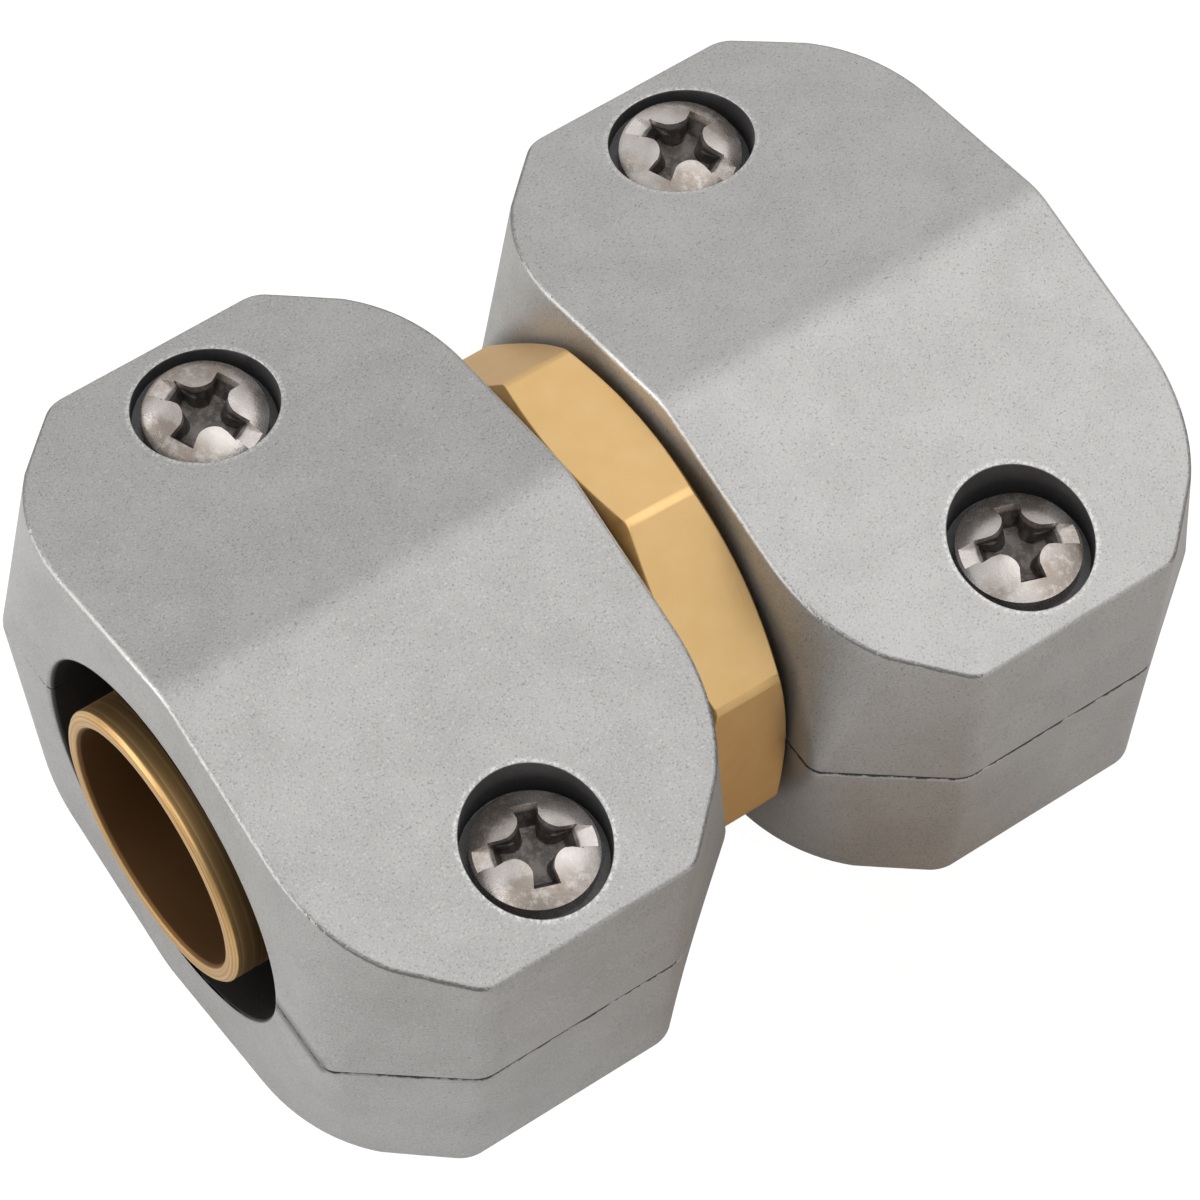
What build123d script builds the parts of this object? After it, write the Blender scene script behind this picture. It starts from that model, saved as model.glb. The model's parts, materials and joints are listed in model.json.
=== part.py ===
from build123d import *
import math
import os

os.makedirs("parts", exist_ok=True)

# Hose mender: a turned brass stem with a hose tail at each end, and on each tail a clamp made of
# two zinc castings that two screws draw together over the hose.
# X runs along the hose, Z along the screws; the origin is the middle of the stem.

# Stem, which sets the hose that the mender fits
tail_radius = 8.45
tail_wall = 1.1
tail_protrusion = 0.65  # of the tail beyond the mouth of its clamp
tail_land = 3.4  # plain length at the tail's end
tail_root = 2.45  # plain length between the last barb and the flange
tail_edge_bevel = 0.25
barb_count = 4
barb_depth = 0.5
barb_crest = 0.8
neck_step = 0.55  # of the neck over the tail
flange_length = 1.5
flange_clearance = 0.8  # between the flange and the hose space around it

# Eight-sided collar between the clamps
collar_sides = 8
collar_flats = 28.2  # across flats
collar_turn = -7.5  # degrees from having a flat on top
collar_edge_radius = 0.9
collar_chamfer_inset = 0.1  # of the end chamfer's inner edge, from the flats
collar_chamfer_angle = 25.0
collar_end_play = 0.2  # between the collar and each clamp

# Clamps, each an upper and a lower casting that meet at Z = 0
clamp_length = 26.5  # along the hose, at the seam
clamp_gap = 5.7  # between the two clamps
hose_wall = 2.75  # room for the squeezed hose around the tail
screw_wall = 4.6  # from the hose space to each screw's axis
end_wall = 5.6  # from each screw's axis to the end face
roof_wall = 4.5  # from the hose space to the roof, square to the roof
roof_angle = 13.9  # slope of the roof down from its ridge
ridge_radius = 4.0
rim_radius = 0.35  # round along the edge of the roof
seam_break = 0.15  # small bevel along the seam
seam_chamfer_along = 6.8  # corner cut at the seam, along the hose
seam_chamfer_across = 5.1
seam_nose_radius = 1.2  # where the mouth face turns into the corner cut
crown_chamfer_along = 6.0  # the same corner at the level of the ridge
crown_chamfer_across = 6.9
crown_nose_radius = 14.5
crown_inset = 0.38  # draft of the walls, up to the ridge
cheek_radius = 2.1  # where the corner cut turns into the end face

# Hose space inside each clamp, and the lip at its inner end, which runs on the neck of the stem
mouth_bevel = 0.3
rib_count = 3
rib_height = 0.6
rib_crest = 0.8
rib_inset = 4.5  # from the mouth face to the first rib
rib_end_gap = 7.2  # from the last rib to the lip
lip_length = 2.8
lip_clearance = 0.25  # around the neck
lip_end_play = 0.2  # between the lip and the flange

# Screws
shank_radius = 2.0
shank_clearance = 0.25  # in the upper casting
thread_clearance = 0.04  # in the lower casting
screw_depth = 8.7  # of the tip below the seam
tip_bevel = 0.6
hole_end_gap = 1.3  # below the screw's tip
head_radius = 3.5
head_clearance = 0.6  # around the head, in its counterbore
head_recess = 2.2  # of the head's underside below the roof, at the screw's axis
head_side = 1.1  # height of the head's rim
head_dome = 1.05
slot_width = 1.25
slot_depth = 0.95
cross_width = 1.25
cross_span = 4.6
cross_depth = 2.0
cross_corner_radius = 0.45
cross_taper = 9.0
left_slot_angle = 115.0  # the way the slots point, from the X axis
right_slot_angle = 160.5

far_clamp_roll = -2.1  # the far clamp's turn about the stem, against the near one
overshoot = 1.0  # how far cutting shapes run past the piece they cut

bore_radius = tail_radius - tail_wall
neck_radius = tail_radius + neck_step
lip_radius = neck_radius + lip_clearance
mouth_radius = tail_radius + hose_wall
flange_radius = mouth_radius - flange_clearance

half_length = clamp_length / 2
clamp_centre = (clamp_length + clamp_gap) / 2
collar_half = clamp_gap / 2 - collar_end_play
flange_inner_face = clamp_gap / 2 + lip_length + lip_end_play
flange_outer_face = flange_inner_face + flange_length
tail_end = clamp_centre + half_length + tail_protrusion
barb_pitch = (tail_end - tail_land - tail_root - flange_outer_face) / barb_count

screw_reach = mouth_radius + screw_wall
half_width = screw_reach + end_wall
roof_slope = math.tan(math.radians(roof_angle))
ridge_level = (mouth_radius + roof_wall) / math.cos(math.radians(roof_angle))
shoulder_level = ridge_level - half_width * roof_slope
screw_seat = ridge_level - screw_reach * roof_slope - head_recess
head_top = head_side + head_dome


def clamp_outline(inset, chamfer_along, chamfer_across, nose_radius):
    """Draws the clamp's outline from above: a rectangle with its corners cut and rounded."""
    end_x = half_length - inset
    end_y = half_width - inset
    cut_x = end_x - chamfer_along
    cut_y = end_y - chamfer_across
    with BuildSketch(mode=Mode.PRIVATE) as outline:
        Polygon(
            (end_x, -cut_y),
            (end_x, cut_y),
            (cut_x, end_y),
            (-cut_x, end_y),
            (-end_x, cut_y),
            (-end_x, -cut_y),
            (-cut_x, -end_y),
            (cut_x, -end_y),
        )
        across = outline.vertices().group_by(Axis.X)
        fillet(across[0] + across[-1], nose_radius)
        along = outline.vertices().group_by(Axis.Y)
        fillet(along[0] + along[-1], cheek_radius)
    add(outline.sketch)


# Outside of one casting, its seam face on Z = 0: walls that soften from sharp corners at the seam
# to round ones at the roof, under a roof of two slopes with a rounded ridge
with BuildPart() as casting:
    with BuildSketch():
        clamp_outline(seam_break, seam_chamfer_along, seam_chamfer_across, seam_nose_radius)
    with BuildSketch(Plane.XY.offset(seam_break)):
        clamp_outline(0, seam_chamfer_along, seam_chamfer_across, seam_nose_radius)
    with BuildSketch(Plane.XY.offset(ridge_level)):
        clamp_outline(crown_inset, crown_chamfer_along, crown_chamfer_across, crown_nose_radius)
    loft(ruled=True)
    with BuildSketch(Plane.YZ) as roof:
        Polygon(
            (-half_width, 0),
            (half_width, 0),
            (half_width, shoulder_level),
            (0, ridge_level),
            (-half_width, shoulder_level),
            align=None,
        )
        fillet(roof.vertices().sort_by(Axis.Y)[-1], ridge_radius)
    extrude(amount=clamp_length, both=True, mode=Mode.INTERSECT)
    roof_faces = casting.faces().filter_by_position(Axis.Z, shoulder_level, ridge_level)
    ridge_lines = casting.edges().filter_by(Axis.X).filter_by_position(Axis.Y, -ridge_radius, ridge_radius)
    fillet(roof_faces.edges() - ridge_lines, rim_radius)

# Hose space of one clamp, as the solid that it takes away: the mouth, the grip ribs and the lip's hole
with BuildPart() as hose_space:
    with BuildSketch():
        with BuildLine():
            outside = half_length + overshoot
            lip_face = half_length - lip_length
            rib_width = rib_crest + 2 * rib_height
            rib_run = clamp_length - lip_length - rib_inset - rib_end_gap - rib_width
            points = [
                (-outside, 0),
                (-outside, mouth_radius + mouth_bevel + overshoot),
                (-half_length + mouth_bevel, mouth_radius),
            ]
            for rib in range(rib_count):
                rib_start = -half_length + rib_inset + rib * rib_run / (rib_count - 1)
                points += [
                    (rib_start, mouth_radius),
                    (rib_start + rib_height, mouth_radius - rib_height),
                    (rib_start + rib_height + rib_crest, mouth_radius - rib_height),
                    (rib_start + rib_width, mouth_radius),
                ]
            points += [
                (lip_face, mouth_radius),
                (lip_face, lip_radius),
                (outside, lip_radius),
                (outside, 0),
            ]
            Polyline(*points, close=True)
        make_face()
    revolve(axis=Axis.X)

with BuildPart() as upper_casting:
    add(casting.part)
    add(hose_space.part, mode=Mode.SUBTRACT)
    with Locations((0, screw_reach, ridge_level), (0, -screw_reach, ridge_level)):
        CounterBoreHole(
            radius=shank_radius + shank_clearance,
            counter_bore_radius=head_radius + head_clearance,
            counter_bore_depth=ridge_level - screw_seat,
        )

with BuildPart() as lower_casting:
    add(casting.part.mirror(Plane.XY))
    add(hose_space.part, mode=Mode.SUBTRACT)
    with Locations((0, screw_reach, 0), (0, -screw_reach, 0)):
        Hole(radius=shank_radius + thread_clearance, depth=screw_depth + hole_end_gap)

# Screw, its head's underside on Z = 0: a domed head with a straight slot and a cross
with BuildPart() as screw:
    with BuildSketch(Plane.XZ) as section:
        with BuildLine():
            tip = -screw_seat - screw_depth
            Polyline(
                (0, head_top),
                (0, tip),
                (shank_radius - tip_bevel, tip),
                (shank_radius, tip + tip_bevel),
                (shank_radius, 0),
                (head_radius, 0),
                (head_radius, head_side),
            )
            dome_radius = (head_radius**2 + head_dome**2) / (2 * head_dome)
            RadiusArc((head_radius, head_side), (0, head_top), -dome_radius)
        make_face()
    revolve(axis=Axis.Z)
    with BuildSketch(Plane.XY.offset(head_top)):
        Rectangle(2 * (head_radius + overshoot), slot_width)
    extrude(amount=-slot_depth, mode=Mode.SUBTRACT)
    with BuildSketch(Plane.XY.offset(head_top)) as cross:
        Rectangle(cross_span, cross_width)
        Rectangle(cross_width, cross_span)
        inner_corners = cross.vertices().group_by(SortBy.DISTANCE)[0]
        fillet(inner_corners, cross_corner_radius)
    extrude(amount=-cross_depth, taper=cross_taper, mode=Mode.SUBTRACT)

# Collar: an eight-sided bar turned down to a cone at each end
with BuildPart() as collar:
    with BuildSketch(Plane.YZ) as bar_section:
        first_corner = 180 / collar_sides + collar_turn
        RegularPolygon(collar_flats / 2, collar_sides, major_radius=False, rotation=first_corner)
        fillet(bar_section.vertices(), collar_edge_radius)
    extrude(amount=collar_half, both=True)
    with BuildSketch():
        with BuildLine():
            chamfer_radius = collar_flats / 2 - collar_chamfer_inset
            cone_rise = collar_half / math.tan(math.radians(collar_chamfer_angle))
            Polyline(
                (-collar_half, 0),
                (-collar_half, chamfer_radius),
                (0, chamfer_radius + cone_rise),
                (collar_half, chamfer_radius),
                (collar_half, 0),
                close=True,
            )
        make_face()
    revolve(axis=Axis.X, mode=Mode.INTERSECT)

# Stem: turned in one piece with its collar, bored through, with a necked and barbed tail each way
with BuildPart() as stem:
    with BuildSketch() as tail_section:
        with BuildLine():
            root_radius = tail_radius - barb_depth
            points = [
                (0, bore_radius),
                (tail_end - tail_edge_bevel, bore_radius),
                (tail_end, bore_radius + tail_edge_bevel),
                (tail_end, tail_radius - tail_edge_bevel),
                (tail_end - tail_edge_bevel, tail_radius),
            ]
            for barb in range(barb_count):
                step = tail_end - tail_land - barb * barb_pitch
                points += [
                    (step, tail_radius),
                    (step, root_radius),
                    (step - barb_pitch + barb_crest, tail_radius),
                ]
            last_step = tail_end - tail_land - barb_count * barb_pitch
            points += [
                (last_step, tail_radius),
                (last_step, root_radius),
                (flange_outer_face, root_radius),
                (flange_outer_face, flange_radius),
                (flange_inner_face, flange_radius),
                (flange_inner_face, neck_radius),
                (0, neck_radius),
            ]
            Polyline(*points, close=True)
        make_face()
    revolve(axis=Axis.X)
    mirror(about=Plane.YZ)
    add(collar.part)
    with BuildSketch(Plane.YZ.offset(-collar_half)):
        Circle(bore_radius)
    extrude(amount=2 * collar_half, mode=Mode.SUBTRACT)
stem.part.label = "stem"
export_step(stem.part, "parts/stem.step")

# The clamps in place: the mouths face outwards, and the far clamp hangs a little turned on the neck
ends = {
    "near": Location((-clamp_centre, 0, 0)),
    "far": Location((clamp_centre, 0, 0), (far_clamp_roll, 0, 180)),
}
left_side = {"near": 1, "far": -1}

for end, place in ends.items():
    with BuildPart() as upper_clamp:
        with Locations(place):
            add(upper_casting.part)
    upper_clamp.part.label = f"{end}_upper_clamp"
    export_step(upper_clamp.part, f"parts/{end}_upper_clamp.step")

    with BuildPart() as lower_clamp:
        with Locations(place):
            add(lower_casting.part)
    lower_clamp.part.label = f"{end}_lower_clamp"
    export_step(lower_clamp.part, f"parts/{end}_lower_clamp.step")

    for side, sign, slot_angle in (("left", 1, left_slot_angle), ("right", -1, right_slot_angle)):
        screw_y = sign * left_side[end] * screw_reach
        with BuildPart() as placed_screw:
            with Locations(place * Location((0, screw_y, screw_seat), (0, 0, slot_angle))):
                add(screw.part)
        placed_screw.part.label = f"{end}_{side}_screw"
        export_step(placed_screw.part, f"parts/{end}_{side}_screw.step")
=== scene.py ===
import json
import math

import bmesh
import bpy
from mathutils import Euler, Matrix, Vector


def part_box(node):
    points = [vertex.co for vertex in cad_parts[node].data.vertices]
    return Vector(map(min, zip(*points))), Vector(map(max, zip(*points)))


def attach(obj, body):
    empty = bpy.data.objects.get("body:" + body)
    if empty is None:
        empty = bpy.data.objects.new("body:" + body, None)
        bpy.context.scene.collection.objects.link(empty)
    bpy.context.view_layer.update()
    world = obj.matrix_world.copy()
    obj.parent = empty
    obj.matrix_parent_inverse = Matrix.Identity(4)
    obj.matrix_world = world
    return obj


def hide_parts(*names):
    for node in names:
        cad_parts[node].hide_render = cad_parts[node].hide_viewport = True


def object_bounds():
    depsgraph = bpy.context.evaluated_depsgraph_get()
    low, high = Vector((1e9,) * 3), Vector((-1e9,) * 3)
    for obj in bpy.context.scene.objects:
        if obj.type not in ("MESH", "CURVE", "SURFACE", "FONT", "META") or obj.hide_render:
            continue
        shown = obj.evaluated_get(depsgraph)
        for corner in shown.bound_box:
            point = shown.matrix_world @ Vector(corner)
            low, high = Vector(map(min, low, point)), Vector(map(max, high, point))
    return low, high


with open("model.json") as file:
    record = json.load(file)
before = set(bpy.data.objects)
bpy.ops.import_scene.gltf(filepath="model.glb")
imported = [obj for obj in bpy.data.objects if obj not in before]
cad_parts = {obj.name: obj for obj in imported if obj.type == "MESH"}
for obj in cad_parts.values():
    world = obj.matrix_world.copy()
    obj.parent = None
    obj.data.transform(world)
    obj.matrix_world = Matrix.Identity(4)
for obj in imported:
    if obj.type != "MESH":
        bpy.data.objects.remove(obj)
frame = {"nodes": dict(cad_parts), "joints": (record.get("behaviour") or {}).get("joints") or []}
cad_box = [list(corner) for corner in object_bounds()]

# Stem: the core of the mender, turned from eight-sided brass bar in one piece with its collar and
# bored through for the water. The clamps run on its necks, and a hose end goes over each tail.
# Sizes that a finish reads are in millimetres, as are the places that it works with.
mm = 0.001
stem_edge = 0.07 * mm
ring_depth = 0.006 * mm
bore_radius = 7.35
tail_radius = 8.45
browned_least, browned_more, bore_shade_share = 0.22, 0.35, 0.9
flat_angle = math.radians(0.2)
sharp_angle = math.radians(24)
weld = 0.001 * mm


class Value:
    """A node's output: Python's operators on it add Math nodes to its tree."""

    def __init__(self, output):
        self.output = output

    def math(self, operation, *terms):
        return node(self.output.id_data, "ShaderNodeMath", {"operation": operation}, dict(enumerate(terms)))

    def __add__(self, other):
        return self.math("ADD", self, other)

    def __radd__(self, other):
        return self.math("ADD", other, self)

    def __sub__(self, other):
        return self.math("SUBTRACT", self, other)

    def __rsub__(self, other):
        return self.math("SUBTRACT", other, self)

    def __mul__(self, other):
        return self.math("MULTIPLY", self, other)

    def __rmul__(self, other):
        return self.math("MULTIPLY", other, self)

    def __truediv__(self, other):
        return self.math("DIVIDE", self, other)

    def __rtruediv__(self, other):
        return self.math("DIVIDE", other, self)

    def __pow__(self, other):
        return self.math("POWER", self, other)

    def __abs__(self):
        return self.math("ABSOLUTE", self)

    def least(self, other):
        return self.math("MINIMUM", self, other)

    def most(self, other):
        return self.math("MAXIMUM", self, other)

    def named(self, name):
        """Another output of the same node."""
        return Value(self.output.node.outputs[name])


def node(tree, kind, settings=(), sockets=(), output=0):
    """Adds a node: its settings first, then a value or a link for each socket, by name or number."""
    made = tree.nodes.new(kind)
    for name, setting in dict(settings).items():
        setattr(made, name, setting)
    for key, given in dict(sockets).items():
        for term in given if isinstance(given, list) else [given]:
            if isinstance(term, Value):
                tree.links.new(term.output, made.inputs[key])
            else:
                made.inputs[key].default_value = term
    return Value(made.outputs[output]) if len(made.outputs) else None


def srgb(red, green, blue):
    """A colour given as it looks, 0 to 255, as the linear colour that the nodes take."""
    levels = [level / 255 for level in (red, green, blue)]
    return tuple(v / 12.92 if v < 0.04045 else ((v + 0.055) / 1.055) ** 2.4 for v in levels) + (1,)


def mixed(tree, share, first, second):
    """The first colour turning into the second as share goes from 0 to 1."""
    return node(tree, "ShaderNodeMix", {"data_type": "RGBA"}, {0: share, 6: first, 7: second}, 2)


def band(tree, value, low, high):
    """0 below low and 1 above high, with a soft step between; low may be the greater."""
    sockets = {"Value": value, "From Min": low, "From Max": high}
    return node(tree, "ShaderNodeMapRange", {"interpolation_type": "SMOOTHSTEP"}, sockets)


def noise(tree, place, scale, detail=2.0, roughness=0.5):
    """Cloudy noise about 0.5, its scale in lumps to the millimetre of place."""
    sockets = {"Vector": place, "Scale": scale, "Detail": detail, "Roughness": roughness}
    return node(tree, "ShaderNodeTexNoise", {}, sockets)


def coordinates(tree, place):
    """The x, y and z of a place."""
    axes = node(tree, "ShaderNodeSeparateXYZ", {}, {0: place})
    return [axes.named(name) for name in "XYZ"]


def own_place(tree, centre, turn):
    """Position in millimetres, in the frame of a piece with that centre and turn."""
    shared = node(tree, "ShaderNodeTexCoord", {}, {}, "Object")
    sockets = {"Vector": shared, "Location": centre, "Rotation": turn, "Scale": (mm, mm, mm)}
    return node(tree, "ShaderNodeMapping", {"vector_type": "TEXTURE"}, sockets)


def new_finish(name):
    """A new material, with the tree and the shader that its finish is wired to."""
    material = bpy.data.materials.new(name)
    material.use_nodes = True
    tree = material.node_tree
    return material, tree, tree.nodes["Principled BSDF"]


def wire(tree, shader, values):
    """Sets a shader's sockets: links for what varies, plain values for the rest."""
    for name, given in values.items():
        if isinstance(given, Value):
            tree.links.new(given.output, shader.inputs[name])
        else:
            shader.inputs[name].default_value = given


def relief(tree, height, depth):
    """Surface relief from a height of 0 to 1 that stands for that depth."""
    return node(tree, "ShaderNodeBump", {}, {"Height": height, "Distance": depth})


def add_object(name, data):
    """A new object in the scene, with that data."""
    made = bpy.data.objects.new(name, data)
    bpy.context.scene.collection.objects.link(made)
    return made


def break_edges(piece, width, method, clamped):
    """Rounds a piece's edges with a bevel of that width, chosen by angle or by weight."""
    edges = piece.modifiers.new("edges", "BEVEL")
    edges.width = width
    edges.segments = 2
    edges.limit_method = method
    edges.angle_limit = sharp_angle
    edges.use_clamp_overlap = clamped
    edges.harden_normals = True


def finished_copy(source, edge, material):
    """A copy of a solid with flat faces made whole, curves smooth and each sharp edge broken."""
    shape = bmesh.new()
    shape.from_mesh(frame["nodes"][source].data)
    bmesh.ops.remove_doubles(shape, verts=shape.verts, dist=weld)
    bmesh.ops.dissolve_limit(shape, angle_limit=flat_angle, verts=shape.verts, edges=shape.edges)
    for face in shape.faces:
        face.smooth = True
    mesh = bpy.data.meshes.new(source + "_finished")
    shape.to_mesh(mesh)
    shape.free()
    mesh.materials.append(material)
    piece = add_object(mesh.name, mesh)
    break_edges(piece, edge, "ANGLE", False)
    normals = piece.modifiers.new("normals", "WEIGHTED_NORMAL")
    normals.keep_sharp = True
    return piece


def brass_finish():
    """Turned brass: satin, with fine rings round the axis, browned lines on the tails and painted shade in
    the bore.
    """
    pale_gold, deep_gold = srgb(244, 207, 150), srgb(231, 190, 126)
    browned, bore_shade_brown = srgb(126, 84, 42), srgb(84, 50, 26)
    material, tree, shader = new_finish("turned_brass")
    place = own_place(tree, (0, 0, 0), (0, 0, 0))
    x, y, z = coordinates(tree, place)
    radius = (y * y + z * z) ** 0.5
    along_and_out = node(tree, "ShaderNodeCombineXYZ", {}, {0: x, 1: radius})
    in_bore = band(tree, radius, bore_radius + 0.25, bore_radius + 0.1)
    on_tail = band(tree, radius, tail_radius + 0.45, tail_radius + 0.25) * (1 - in_bore)
    cloud = noise(tree, place, scale=0.5, detail=3)
    lines = noise(tree, along_and_out, scale=6, detail=4, roughness=0.8)
    tool_marks = noise(tree, along_and_out, scale=8, detail=3, roughness=0.6)
    rings = 0.5 + (tool_marks - 0.5) * (1 - in_bore)
    worn = browned_least + band(tree, lines, 0.6, 0.4) * browned_more
    colour = mixed(tree, cloud, pale_gold, deep_gold)
    colour = mixed(tree, on_tail * worn, colour, browned)
    # Painted shade: the bore is darkened towards brown.
    colour = mixed(tree, in_bore * bore_shade_share, colour, bore_shade_brown)
    rough = 0.33 + rings * 0.16 + in_bore * 0.2
    bump = relief(tree, rings, ring_depth)
    wire(tree, shader, {"Base Color": colour, "Roughness": rough, "Metallic": 1.0, "Normal": bump})
    return material


stem = finished_copy("stem", stem_edge, brass_finish())
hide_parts("stem")
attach(stem, "stem")

# Clamps: four zinc castings, tumbled after casting, which leaves a fine grey grain and rubs the rims
# brighter, with a painted highlight on one side. Each pair meets at the seam round the hose, and two
# screws draw it shut. In a clamp's own frame its mouth faces -X, its other end faces the collar, and
# its screws stand along Z.
ends = ("near", "far")
joints = {joint["child"]: joint for joint in frame["joints"]}
clamp_centres = {end: tuple(joints[end + "_lower"]["pos_m"]) for end in ends}
clamp_turns = {"near": (0, 0, 0), "far": (math.radians(2.1), 0, math.pi)}
casting_edge = 0.1 * mm
grain_depth = 0.02 * mm
mouth_face, collar_face = -13.25, 13.25
mouth_radius = 11.2
screw_reach = 15.8
counterbore_radius = 4.1
counterbore_start = (9.5, 9.9)
# Painted light: the far casting stands more in the light, so its grey is painted lighter than the near one's.
lit_casting_tones = {"near": 183, "far": 192}
cloud_depth = 8
dark_grain, light_grain = srgb(116, 115, 114), srgb(211, 210, 209)
# The light zinc is rubbed wear and a painted highlight on the rims; the dark one is a painted dark reflection
# round the corners.
rubbed_highlight_zinc, corner_dark_reflection = srgb(232, 231, 229), srgb(80, 78, 76)
# The seam colour is the dark joint line, and painted shade where the seam gapes beside the mouth.
collar_shade, seam_line_and_shade = srgb(58, 58, 60), srgb(48, 45, 43)
# Painted shade for the counterbore walls and for the hose space.
counterbore_shade, hose_space_shade = srgb(94, 93, 95), srgb(52, 51, 52)

# How far each mark covers the grey, from 0 to 1, and how far the seam fades where it is tight.
grain_share, lip_share, dark_reflection_share, shade_share = 0.7, 0.6, 0.6, 0.75
# The rims are rubbed a little all round; the extra on one side is painted highlight.
rubbed_all_round, highlight_more = 0.15, 0.55
seam_share, tight_share, gap_shade_share, hollow_shade_share = 0.9, 0.7, 0.55, 0.96

# Where each mark on a casting starts and is full: out from the hose axis, across it, or off the seam.
shade_starts, shade_full = 17.5, 13.5
# Where the painted highlight on the rims starts and is full across the hose, on one side of the mender.
highlight_starts, highlight_full, highlight_fades, highlight_ends = -17, -12, 1, 7
seam_width, seam_least = 0.16, 0.03
seam_closes, seam_closed = 11, 13
gap_shade_starts, gap_shade_full = -10.5, -11.5
gap_shade_top, gap_shade_middle = 1.3, 0.1

# Which faces are walls or rims: the upright share of a face's normal, and its share along the hose.
wall_lean = 0.9
rim_least, rim_middle, rim_most, rim_spread = 0.2, 0.6, 0.93, 0.4
rim_reach, seam_clear = 12, 1
along_end, round_corner = 0.9, 0.3


def face_mark(tree, name):
    """What mark_faces wrote on each face under that name."""
    return node(tree, "ShaderNodeAttribute", {"attribute_name": name}, {}, "Fac")


def zinc_finish(end):
    """Tumbled zinc: salt-and-pepper grain over soft clouds, rims rubbed bright along the ends with a painted
    highlight on one side and a painted dark reflection round the corners, a dark ragged seam line with
    painted shade where it gapes on one side of the mouth, painted shade on the end at the collar, and
    painted shade in the hose space and the counterbores."""
    material, tree, shader = new_finish(end + "_cast_zinc")
    place = own_place(tree, clamp_centres[end], clamp_turns[end])
    x, y, z = coordinates(tree, place)
    radius = (y * y + z * z) ** 0.5
    off_hole = (x * x + (abs(y) - screw_reach) ** 2) ** 0.5
    grain = noise(tree, place, scale=8, detail=3, roughness=0.65)
    cloud = noise(tree, place, scale=0.3, detail=4, roughness=0.6)
    patch = noise(tree, place, scale=5, detail=3, roughness=0.7)
    run = noise(tree, place, scale=0.9, detail=4, roughness=0.7)
    rim, wall = face_mark(tree, "rim"), face_mark(tree, "wall")

    tone = lit_casting_tones[end]
    pale, deep = (srgb(level, level - 1, level - 3) for level in (tone, tone - cloud_depth))
    colour = mixed(tree, band(tree, cloud, 0.3, 0.7), pale, deep)
    colour = mixed(tree, band(tree, grain, 0.45, 0.3) * grain_share, colour, dark_grain)
    colour = mixed(tree, band(tree, grain, 0.55, 0.7) * grain_share, colour, light_grain)

    by_counterbore = band(tree, z, *counterbore_start)
    lip = band(tree, off_hole, counterbore_radius + 0.4, counterbore_radius + 0.15) * by_counterbore
    # Both clamps are rubbed a little all round and carry a painted highlight on one side of the mender,
    # and the far one's own frame is turned round.
    side = y if end == "near" else 0 - y
    worn_and_lit_side = band(tree, side, highlight_ends, highlight_fades) * band(tree, side, highlight_starts, highlight_full)
    worn_and_lit_side = rubbed_all_round + worn_and_lit_side * highlight_more
    # Painted highlight: the rims are brighter on the lit side, over rubbed wear all round.
    rubbed_and_highlit = band(tree, rim + (patch - 0.5) * 1.3, 0.4, 0.9) * worn_and_lit_side
    rubbed_and_highlit = rubbed_and_highlit.most(lip * band(tree, patch, 0.45, 0.6) * lip_share)
    colour = mixed(tree, rubbed_and_highlit, colour, rubbed_highlight_zinc)
    # Painted dark reflection: the rims round the corners are darkened.
    dark_reflected = band(tree, (patch - 0.5) * 1.1 - rim, 0.1, 0.8) * band(tree, 0 - rim, 0.0, 0.15)
    colour = mixed(tree, dark_reflected * dark_reflection_share, colour, corner_dark_reflection)
    facing_collar = band(tree, x, collar_face - 0.3, collar_face - 0.1)
    facing_collar = facing_collar * band(tree, radius, shade_starts, shade_full)
    colour = mixed(tree, facing_collar * shade_share, colour, collar_shade)

    ragged = seam_least + seam_width * (band(tree, run, 0.35, 0.65) * 0.8 + patch * 0.8)
    tight = band(tree, y, seam_closes, seam_closed) * band(tree, x, mouth_face + 0.25, mouth_face + 0.05)
    seam = band(tree, abs(z), ragged, ragged * 0.5) * (1 - tight * tight_share)
    # Painted shade: a wider dark band beside the mouth where the seam gapes.
    gap_shade = band(tree, y, gap_shade_starts, gap_shade_full) * band(tree, abs(z), gap_shade_top, gap_shade_middle)
    gap_shade = gap_shade * band(tree, x, mouth_face + 0.2, mouth_face + 0.05)
    joint_and_shade = (seam * seam_share).most(gap_shade * gap_shade_share) * wall
    colour = mixed(tree, joint_and_shade, colour, seam_line_and_shade)

    # Painted shade: the counterbore walls and the hose space are darkened.
    counterbore_shaded = band(tree, off_hole, counterbore_radius + 0.05, counterbore_radius + 0.01) * by_counterbore
    colour = mixed(tree, counterbore_shaded * hollow_shade_share, colour, counterbore_shade)
    hose_space_shaded = band(tree, radius, mouth_radius + 0.2, mouth_radius + 0.06)
    colour = mixed(tree, hose_space_shaded * hollow_shade_share, colour, hose_space_shade)
    rough = 0.4 + grain * 0.2 - rubbed_and_highlit * 0.12
    metal = 0.85 - facing_collar * 0.45
    bump = relief(tree, grain, grain_depth)
    wire(tree, shader, {"Base Color": colour, "Roughness": rough, "Metallic": metal, "Normal": bump})
    return material


def mark_faces(mesh):
    """Marks the walls with 1, and the round between roof and walls, most at its middle: up to 1 along
    the mouth and the collar, down to -1 round the corners."""
    rim = mesh.attributes.new("rim", "FLOAT", "FACE")
    wall = mesh.attributes.new("wall", "FLOAT", "FACE")
    for face in mesh.polygons:
        lean = abs(face.normal.z)
        wall.data[face.index].value = float(lean < wall_lean)
        off_axis = math.hypot(face.center.y, face.center.z) / mm
        off_seam = abs(face.center.z) / mm
        if rim_least < lean < rim_most and off_axis > rim_reach and off_seam > seam_clear:
            endwise = abs(face.normal.x) / math.hypot(face.normal.x, face.normal.y)
            weight = 1 - abs(lean - rim_middle) / rim_spread
            if endwise > along_end:
                rim.data[face.index].value = weight
            elif endwise > round_corner:
                rim.data[face.index].value = -weight


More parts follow.
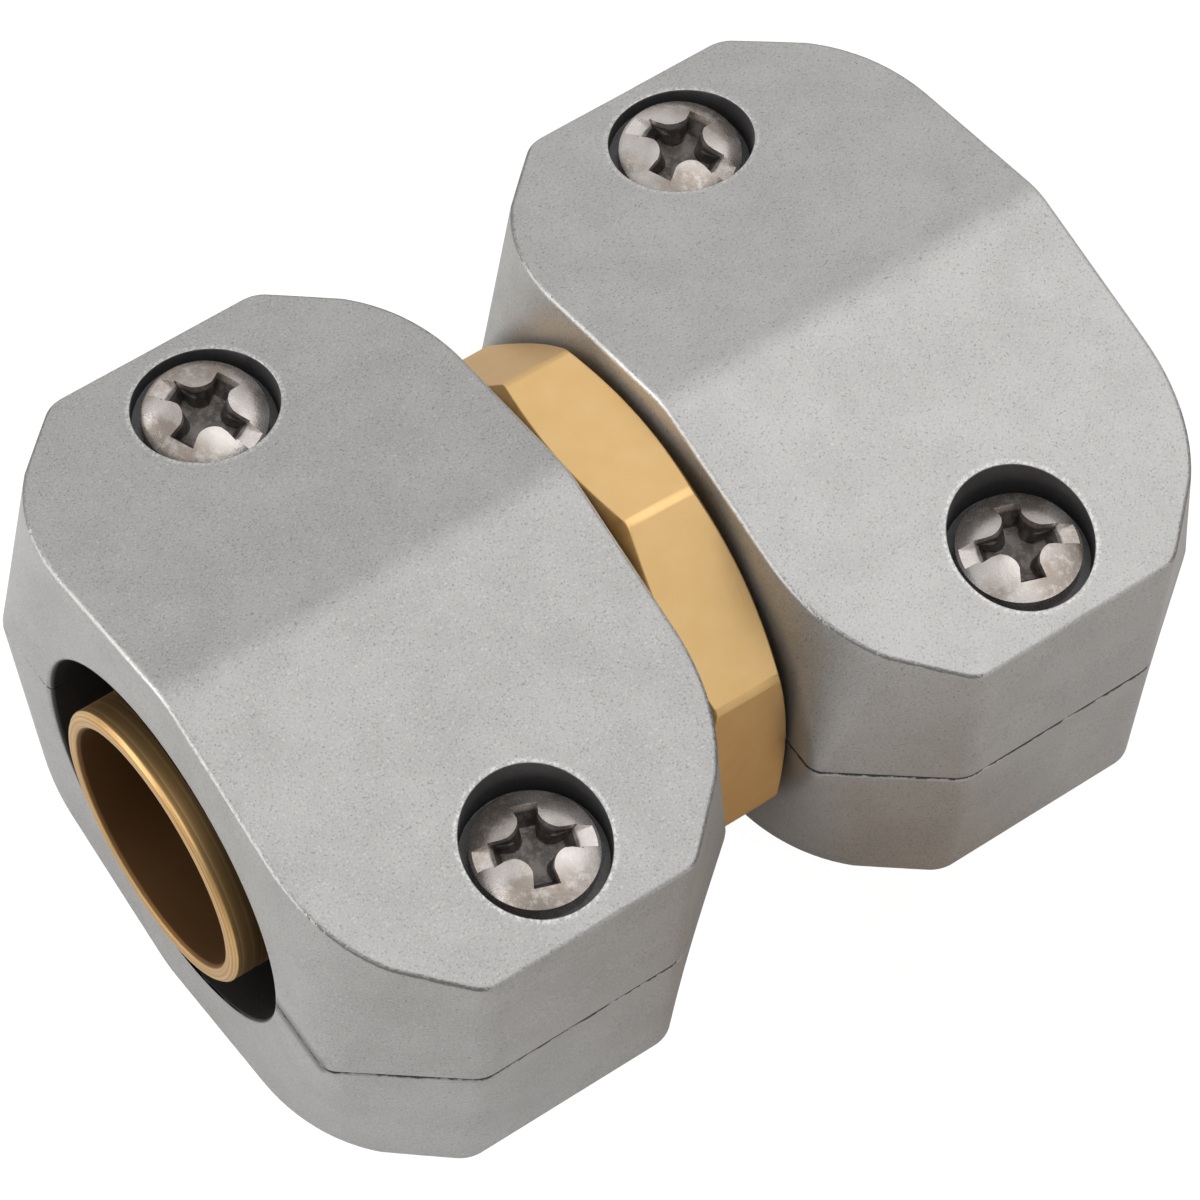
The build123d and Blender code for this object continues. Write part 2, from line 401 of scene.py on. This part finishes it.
for end in ends:
    zinc = zinc_finish(end)
    for half in ("lower", "upper"):
        casting = finished_copy(f"{end}_{half}_clamp", casting_edge, zinc)
        mark_faces(casting.data)
        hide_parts(f"{end}_{half}_clamp")
        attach(casting, f"{end}_{half}")

# Screws: four steel screws, cold headed with a slot across a cross recess, then plated and bright.
# Each goes down its counterbore in the upper casting and its rolled thread bites in the lower one.
# A screw grows in millimetres on the Z axis, with the underside of its head at 0.
screw_edge = 0.05 * mm
plating_depth = 0.012 * mm
head_edge_angle = math.radians(30)
head_radius, head_side, head_dome = 3.5, 1.1, 1.05
head_top = head_side + head_dome
dome_radius = (head_radius**2 + head_dome**2) / (2 * head_dome)
shank_top = 0.05
slot_angles = {"left": math.radians(115), "right": math.radians(160.5)}
# Where the cross's painted shade starts and is full off the axis, and how far the streaks and the painted
# shade of the cross and the slot floor cover the plating.
cross_shade_starts, cross_shade_full = 2.5, 2.3
streak_share, cross_shade_share, slot_shade_share = 0.6, 0.9, 0.5
screw_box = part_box("near_left_screw")
screw_height = (screw_box[1][2] - screw_box[0][2]) / mm


def dome_level(x, y):
    """Height of the head's dome over a point."""
    return head_top - dome_radius + (dome_radius**2 - x * x - y * y) ** 0.5


def point_of(tree):
    """The coordinates of the points that the next node works on."""
    return coordinates(tree, node(tree, "GeometryNodeInputPosition"))


def placed(tree, geometry, x, y, z):
    """Geometry with its points moved to those coordinates."""
    place = node(tree, "ShaderNodeCombineXYZ", {}, {0: x, 1: y, 2: z})
    return node(tree, "GeometryNodeSetPosition", {}, {"Geometry": geometry, "Position": place})


def swung(radius, angle):
    """The x and y of a point at that radius and angle."""
    return radius * angle.math("COSINE", angle), radius * angle.math("SINE", angle)


def threaded_shank(tree, given):
    """A grid wound up round the axis, its rows rising to a crest and falling again over each pitch.
    Turns past either end are drawn in to the axis and close it."""
    pitch, crest, root, tip = (given.named(name) for name in ("Pitch", "Crest", "Root", "Tip"))
    around, rows = 48, 6
    turns_below, spare_turns = 2, 3
    flat, flank = 0.2, 0.6
    tip_cut, drawn_in, joined = 0.6, 8, 0.002
    turns = (shank_top - tip) / pitch + spare_turns
    turns = turns.math("CEIL", turns)
    sizes = {"Size X": 1.0, "Size Y": 1.0, "Vertices X": around + 1, "Vertices Y": turns * rows + 1}
    grid = node(tree, "GeometryNodeMeshGrid", {}, sizes)
    x, y, z = point_of(tree)
    turn, climb = x + 0.5, (y + 0.5) * turns
    height = tip + (climb + turn - turns_below) * pitch
    wave = abs(climb.math("FRACT", climb) - 0.5) * 2
    ridge = ((wave - flat) / flank).least(1).most(0)
    overrun = (tip - height).most(0) + (height - shank_top).most(0)
    tapered = crest - tip_cut + (height - tip)
    radius = ((root + (crest - root) * ridge).least(tapered) - overrun * drawn_in).most(0)
    across, deep = swung(radius, turn * math.tau)
    wound = placed(tree, grid, across, deep, height.most(tip).least(shank_top))
    return node(tree, "GeometryNodeMergeByDistance", {}, {"Geometry": wound, "Distance": joined})


def cross_cutter(tree, given):
    """A plug that narrows downwards, in the outline of a cross whose arms widen inwards between four
    round lobes. It stands proud of the head, where it cuts nothing."""
    inputs = ("Cross Span", "Cross Depth", "Slot Width", "Lobe")
    span, depth, width, lobe = (given.named(name) for name in inputs)
    proud, narrowing = 1, 0.6
    quarter, eighth = math.pi / 2, math.pi / 4
    sizes = {"Vertices": 128, "Side Segments": 4, "Radius": 1.0, "Depth": 1.0}
    plug = node(tree, "GeometryNodeMeshCylinder", {"fill_type": "NGON"}, sizes)
    x, y, z = point_of(tree)
    angle = y.math("ARCTAN2", y, x)
    turned = angle + math.tau + eighth
    off_arm = abs(turned.math("MODULO", turned, quarter) - eighth)
    off_lobe = eighth - off_arm
    lobe_place = (width / 2 + lobe) * math.sqrt(2)
    towards_lobe, past_lobe = swung(lobe_place, off_lobe)
    chord = lobe * lobe - past_lobe**2
    to_lobe = towards_lobe - chord.most(0) ** 0.5
    to_end = span / 2 / off_arm.math("COSINE", off_arm)
    reach = to_end - (to_end - to_lobe).most(0) * chord.math("GREATER_THAN", chord, 0)
    down, out = 0.5 - z, (x * x + y * y) ** 0.5
    reach = reach * out * (1 - (down - proud / (depth + proud)).most(0) * narrowing)
    across, deep = swung(reach, angle)
    return placed(tree, plug, across, deep, head_top + proud - down * (depth + proud))


def screw_tree():
    """Builds the tree: a domed head, less its slot and cross, on a threaded shank."""
    tree = bpy.data.node_groups.new("screw", "GeometryNodeTree")
    names = ("Pitch", "Crest", "Root", "Tip", "Slot Width", "Slot Depth", "Cross Span", "Cross Depth", "Lobe")
    for name in names:
        tree.interface.new_socket(name, in_out="INPUT", socket_type="NodeSocketFloat")
    tree.interface.new_socket("Finish", in_out="INPUT", socket_type="NodeSocketMaterial")
    tree.interface.new_socket("Screw", in_out="OUTPUT", socket_type="NodeSocketGeometry")
    given = node(tree, "NodeGroupInput")
    slot_length, slot_height = 2 * head_radius + 1, 1.0

    sizes = {"Vertices": 96, "Side Segments": 1, "Fill Segments": 7, "Radius": head_radius, "Depth": 1.0}
    blank = node(tree, "GeometryNodeMeshCylinder", {"fill_type": "TRIANGLE_FAN"}, sizes)
    x, y, z = point_of(tree)
    blank = placed(tree, blank, x, y, z.math("GREATER_THAN", z, 0) * dome_level(x, y))
    lengths = {0: slot_length, 1: given.named("Slot Width"), 2: slot_height}
    slot_size = node(tree, "ShaderNodeCombineXYZ", {}, lengths)
    slot = node(tree, "GeometryNodeMeshCube", {}, {"Size": slot_size})
    slot = placed(tree, slot, x, y, z + (head_top + slot_height / 2 - given.named("Slot Depth")))
    cutting = {"operation": "DIFFERENCE", "solver": "EXACT"}
    head = node(tree, "GeometryNodeMeshBoolean", cutting, {0: blank, 1: slot})
    head = node(tree, "GeometryNodeMeshBoolean", cutting, {0: head, 1: cross_cutter(tree, given)})
    bend = node(tree, "GeometryNodeInputMeshEdgeAngle")
    broken = bend.math("GREATER_THAN", bend, head_edge_angle)
    marked = {"Geometry": head, "Name": "bevel_weight_edge", "Value": broken}
    head = node(tree, "GeometryNodeStoreNamedAttribute", {"data_type": "FLOAT", "domain": "EDGE"}, marked)

    whole = node(tree, "GeometryNodeJoinGeometry", {}, {0: [head, threaded_shank(tree, given)]})
    place = node(tree, "GeometryNodeInputPosition")
    marked = {"Geometry": whole, "Name": "own_place", "Value": place}
    whole = node(tree, "GeometryNodeStoreNamedAttribute", {"data_type": "FLOAT_VECTOR"}, marked)
    whole = node(tree, "GeometryNodeTransform", {}, {"Geometry": whole, "Scale": (mm, mm, mm)})
    whole = node(tree, "GeometryNodeRealizeInstances", {}, {0: whole})
    whole = node(tree, "GeometryNodeSetMaterial", {}, {"Geometry": whole, "Material": given.named("Finish")})
    node(tree, "NodeGroupOutput", {}, {0: whole})
    return tree


def grown(tree, inputs):
    """The plain mesh that a Geometry Nodes tree makes with those inputs."""
    host = add_object(tree.name, bpy.data.meshes.new(tree.name))
    maker = host.modifiers.new("maker", "NODES")
    maker.node_group = tree
    for socket in tree.interface.items_tree:
        if socket.name in inputs:
            maker[socket.identifier] = inputs[socket.name]
    view = bpy.context.evaluated_depsgraph_get()
    made = host.evaluated_get(view)
    mesh = bpy.data.meshes.new_from_object(made, preserve_all_data_layers=True, depsgraph=view)
    bpy.data.objects.remove(host)
    return mesh


def steel_finish():
    """Bright plating, with painted reflections smeared pinkish and brown, pale streaks, painted shade
    evening the slot's floor and painted shade dark in the cross."""
    pink_steel, brown_reflection_steel = srgb(208, 201, 197), srgb(158, 147, 138)
    pale_streak, slot_floor_shade = srgb(220, 215, 211), srgb(176, 169, 163)
    dark_cross_shade, light_cross_shade = srgb(62, 58, 56), srgb(104, 98, 94)
    material, tree, shader = new_finish("plated_steel_bright")
    place = node(tree, "ShaderNodeAttribute", {"attribute_name": "own_place"}, {}, "Vector")
    x, y, z = coordinates(tree, place)
    reflection_smear = noise(tree, place, scale=0.3)
    streak = noise(tree, place, scale=1.6, detail=3, roughness=0.7)
    fine = noise(tree, place, scale=6, detail=3, roughness=0.6)
    sunk = band(tree, dome_level(x, y) - z, 0.25, 0.5)
    in_cross = sunk * band(tree, (x * x + y * y) ** 0.5, cross_shade_starts, cross_shade_full)
    in_slot = sunk * (1 - in_cross)
    # Painted reflection: smears of pink and brown stand in for the room seen in the dome.
    colour = mixed(tree, band(tree, reflection_smear, 0.36, 0.62), pink_steel, brown_reflection_steel)
    colour = mixed(tree, band(tree, streak, 0.45, 0.75) * streak_share, colour, pale_streak)
    # Painted shade: the cross recess is darkened, and the slot's floor is toned down.
    cross_shade = mixed(tree, band(tree, streak, 0.4, 0.6), dark_cross_shade, light_cross_shade)
    colour = mixed(tree, in_cross * cross_shade_share, colour, cross_shade)
    colour = mixed(tree, in_slot * slot_shade_share, colour, slot_floor_shade)
    rough = 0.2 + fine * 0.16 + in_cross * 0.2
    bump = relief(tree, fine, plating_depth)
    wire(tree, shader, {"Base Color": colour, "Roughness": rough, "Metallic": 0.85, "Normal": bump})
    return material


screw_inputs = {
    "Pitch": 0.7,
    "Crest": 2.0,
    "Root": 1.57,
    "Tip": head_top - screw_height,
    "Slot Width": 1.25,
    "Slot Depth": 0.95,
    "Cross Span": 5.5,
    "Cross Depth": 1.7,
    "Lobe": 1.2,
    "Finish": steel_finish(),
}
screw_mesh = grown(screw_tree(), screw_inputs)
for end in ends:
    for side in ("left", "right"):
        name = f"{end}_{side}_screw"
        seat = Matrix.Translation(joints[name]["pos_m"])
        clamp_turn = Euler(clamp_turns[end]).to_matrix().to_4x4()
        mesh = screw_mesh.copy()
        mesh.transform(seat @ clamp_turn @ Matrix.Rotation(slot_angles[side], 4, "Z"))
        mesh.shade_smooth()
        screw = add_object(name + "_finished", mesh)
        break_edges(screw, screw_edge, "WEIGHT", True)
        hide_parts(name)
        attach(screw, name)

# Studio: the mender lies on a sheet of white card in a white room, under a broad bright ceiling, with
# two soft boxes at its near end. The camera sees card and room as white, whatever they cast on it; the
# card also carries painted light and shade that reflections and bounced light see.
floor_level = cad_box[0][2]
floor_reach = 4.0
white = (1, 1, 1, 1)
card_glow, card_whiteness = 1.15, 0.85
card, lit_card = (0.6, 0.57, 0.55, 1), (0.92, 0.92, 0.92, 1)
shaded_far_card, gap_shadow_card = (0.5, 0.49, 0.48, 1), (0.36, 0.27, 0.19, 1)
room_level, ceiling_level, dark_level = 0.68, 0.82, 0.55
ceiling_side, camera_side = (0.33, -0.1, 0.94), (-0.6, -0.65, 0.42)

floor_mesh = bpy.data.meshes.new("floor")
corners = [(x * floor_reach, y * floor_reach, floor_level) for x, y in ((-1, -1), (1, -1), (1, 1), (-1, 1))]
floor_mesh.from_pydata(corners, [], [(0, 1, 2, 3)])
floor = add_object("floor", floor_mesh)
floor_material, floor_tree, floor_shader = new_finish("white_floor")


def spot(centre, inner, outer):
    """1 on the floor within inner of a place, falling to 0 at outer."""
    place = node(floor_tree, "ShaderNodeTexCoord", {}, {}, "Object")
    settings = {"operation": "DISTANCE"}
    away = node(floor_tree, "ShaderNodeVectorMath", settings, {0: place, 1: (*centre, floor_level)}, "Value")
    return band(floor_tree, away, outer, inner)


# Painted light and shade on the card: a pool of light on the near side, shade on the far side and a shadow in
# the gap between the clamps.
lit_side = spot((-0.045, 0.01), inner=0.03, outer=0.07)
shaded_far_side = spot((0.015, 0.05), inner=0.02, outer=0.05)
shaded_gap = spot((0.006, -0.028), inner=0.005, outer=0.018)
painted_paper = mixed(floor_tree, shaded_far_side, card, shaded_far_card)
painted_paper = mixed(floor_tree, lit_side, painted_paper, lit_card)
painted_paper = mixed(floor_tree, shaded_gap, painted_paper, gap_shadow_card)
wire(floor_tree, floor_shader, {"Base Color": painted_paper, "Roughness": 0.9})
glow = node(floor_tree, "ShaderNodeEmission", {}, {"Color": white, "Strength": card_glow})
lit = Value(floor_shader.outputs[0])
seen = node(floor_tree, "ShaderNodeLightPath", {}, {}, "Is Camera Ray")
shown = node(floor_tree, "ShaderNodeMixShader", {}, {0: seen * card_whiteness, 1: lit, 2: glow})
floor_output = floor_tree.nodes["Material Output"]
floor_tree.links.new(shown.output, floor_output.inputs["Surface"])
floor_mesh.materials.append(floor_material)

world = bpy.data.worlds.new("studio")
bpy.context.scene.world = world
world.use_nodes = True
world_tree = world.node_tree
room = world_tree.nodes["Background"]


def towards(direction, low, high):
    """How far a ray into the room turns towards a direction, as 0 at the cosine low and 1 at high."""
    ray = node(world_tree, "ShaderNodeTexCoord", {}, {}, "Generated")
    axis = tuple(Vector(direction).normalized())
    turn = node(world_tree, "ShaderNodeVectorMath", {"operation": "DOT_PRODUCT"}, {0: ray, 1: axis}, "Value")
    return band(world_tree, turn, low, high)


overhead = towards(ceiling_side, low=0.7, high=0.97) * ceiling_level
behind_camera = towards(camera_side, low=0.82, high=0.96) * dark_level
level = room_level + overhead - behind_camera
seen = node(world_tree, "ShaderNodeLightPath", {}, {}, "Is Camera Ray")
wire(world_tree, room, {"Color": white, "Strength": level + seen * (1 - level)})


def soft_box(name, place, size, power):
    """A square lamp of that size at place, facing the mender."""
    lamp = bpy.data.lights.new(name, "AREA")
    lamp.size = size
    lamp.energy = power
    box = add_object(name, lamp)
    box.location = place
    box.rotation_euler = Vector(place).to_track_quat("Z", "Y").to_euler()


soft_box("left_box", (-0.6, -0.2, 0.5), size=0.5, power=1.1)
soft_box("rim_box", (-0.56, 0.46, 0.14), size=0.6, power=2.6)

# Camera: at the photograph's viewing angle, about 0.3 m from the mender and above its mouth, with a
# long lens. Its place is in millimetres and its angles are in degrees.
camera_place = (-96.75, -109.785, 257.717)
camera_angles = (29.2498, -3.5965, -35.0321)
camera_data = bpy.data.cameras.new("camera")
camera_data.lens = 158.16
camera_data.sensor_width = 36
camera_data.clip_start = 0.01
camera = add_object("camera", camera_data)
camera.location = [distance * mm for distance in camera_place]
camera.rotation_euler = [math.radians(angle) for angle in camera_angles]
bpy.context.scene.camera = camera
bpy.context.scene.view_settings.view_transform = "Standard"
